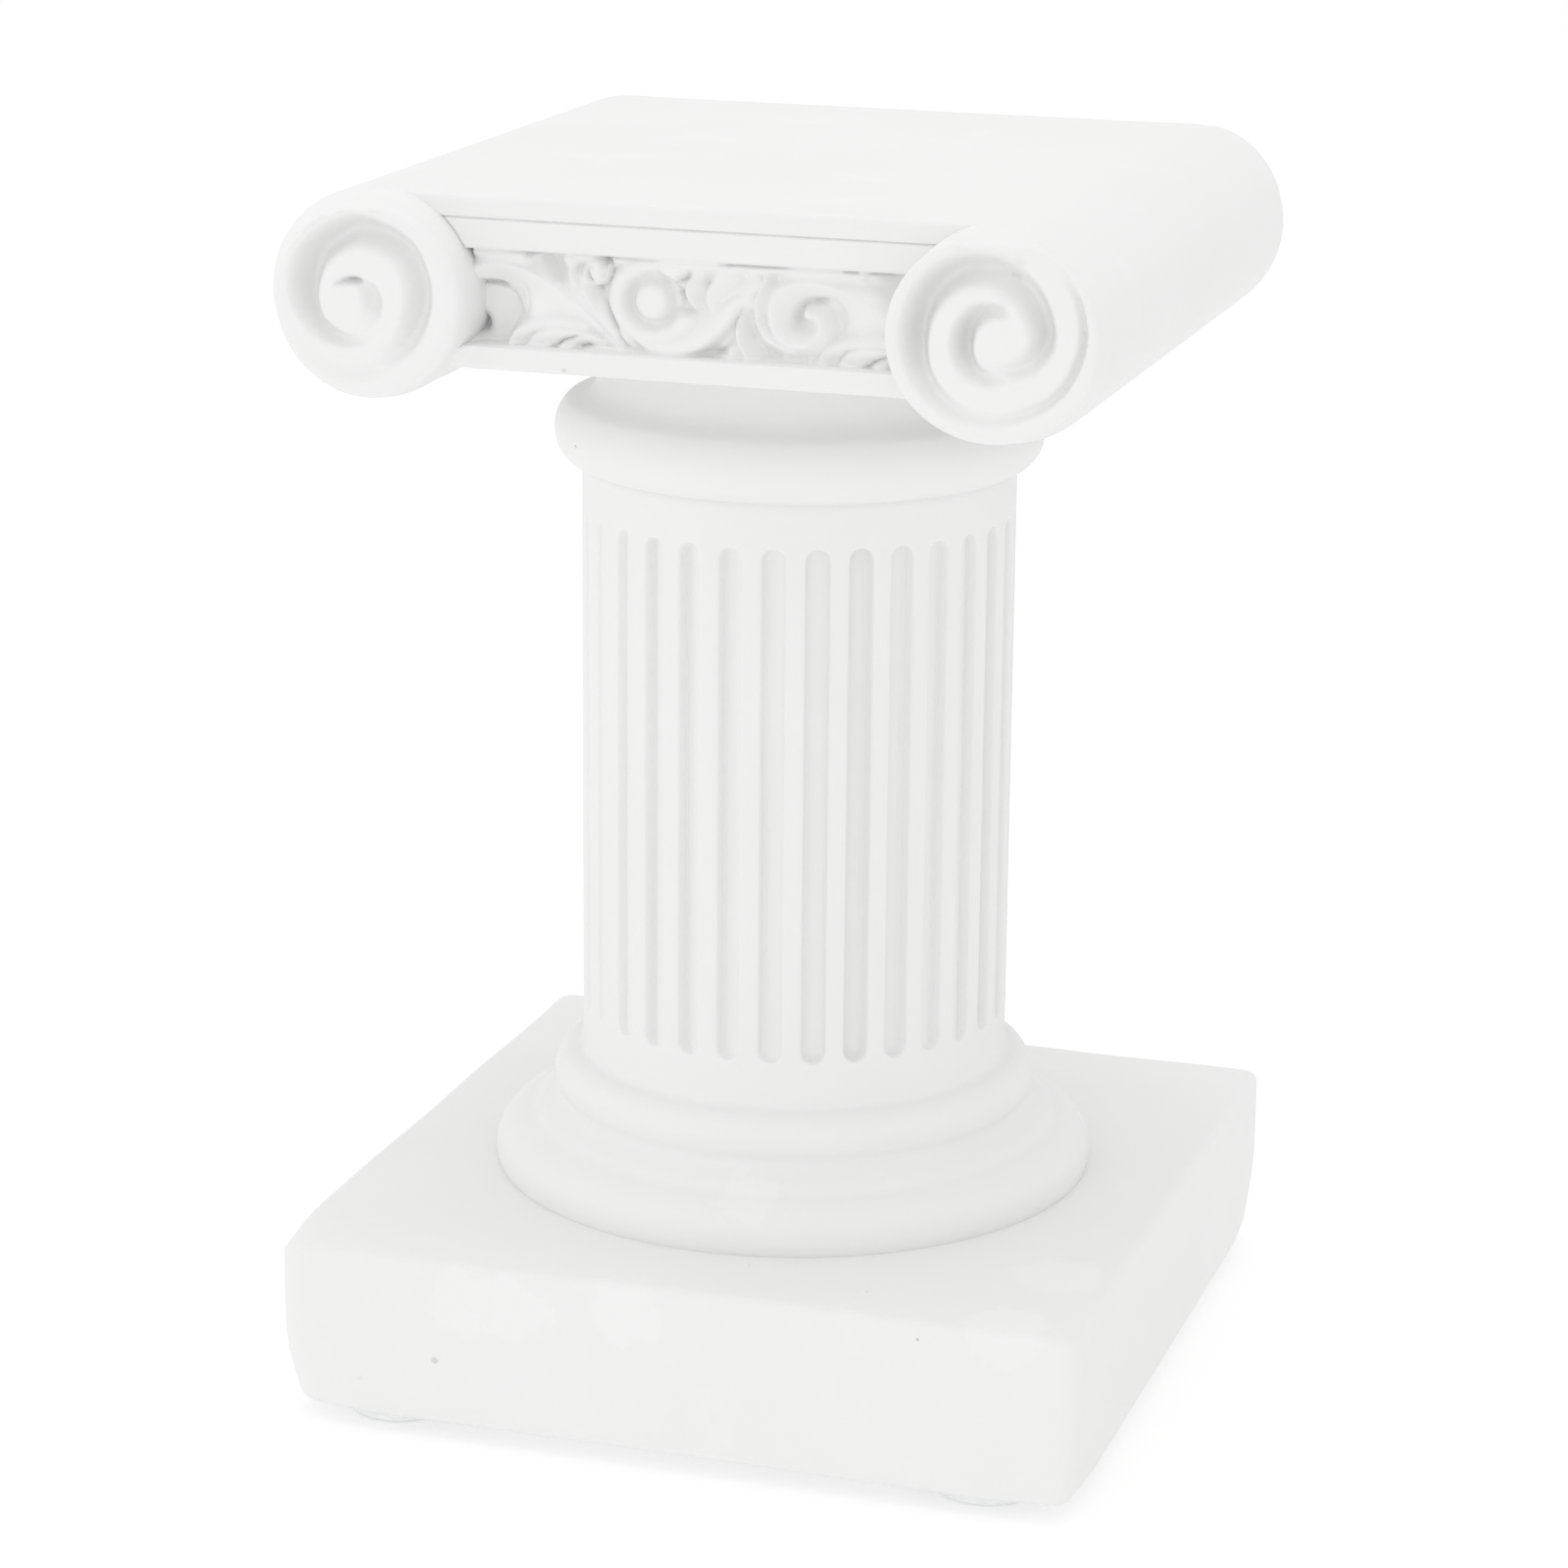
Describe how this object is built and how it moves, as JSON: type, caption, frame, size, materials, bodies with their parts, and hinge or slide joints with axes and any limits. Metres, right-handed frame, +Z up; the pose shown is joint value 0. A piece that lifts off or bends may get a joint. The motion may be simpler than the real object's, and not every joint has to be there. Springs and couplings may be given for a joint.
{
  "type": "ionic column ornament",
  "caption": "Small cast Ionic column on a square plinth, with a fluted shaft, scroll volutes and a carved frieze, standing on clear stick-on pads.",
  "frame": {"origin": "middle of the underside of the pads, on the surface that the column stands on", "axes": "+X runs along the front face to the viewer's right, -Y faces the viewer, +Z is up along the shaft"},
  "size_m": [0.0804, 0.0802, 0.1211],
  "materials": {
    "cast_white": "matte, unpainted off-white casting",
    "clear_pad": "smooth, clear and soft"
  },
  "bodies": {
    "root": {"column": "cast_white", "pad_front_left": "clear_pad", "pad_front_right": "clear_pad", "pad_back_left": "clear_pad", "pad_back_right": "clear_pad"}
  },
  "joints": []
}
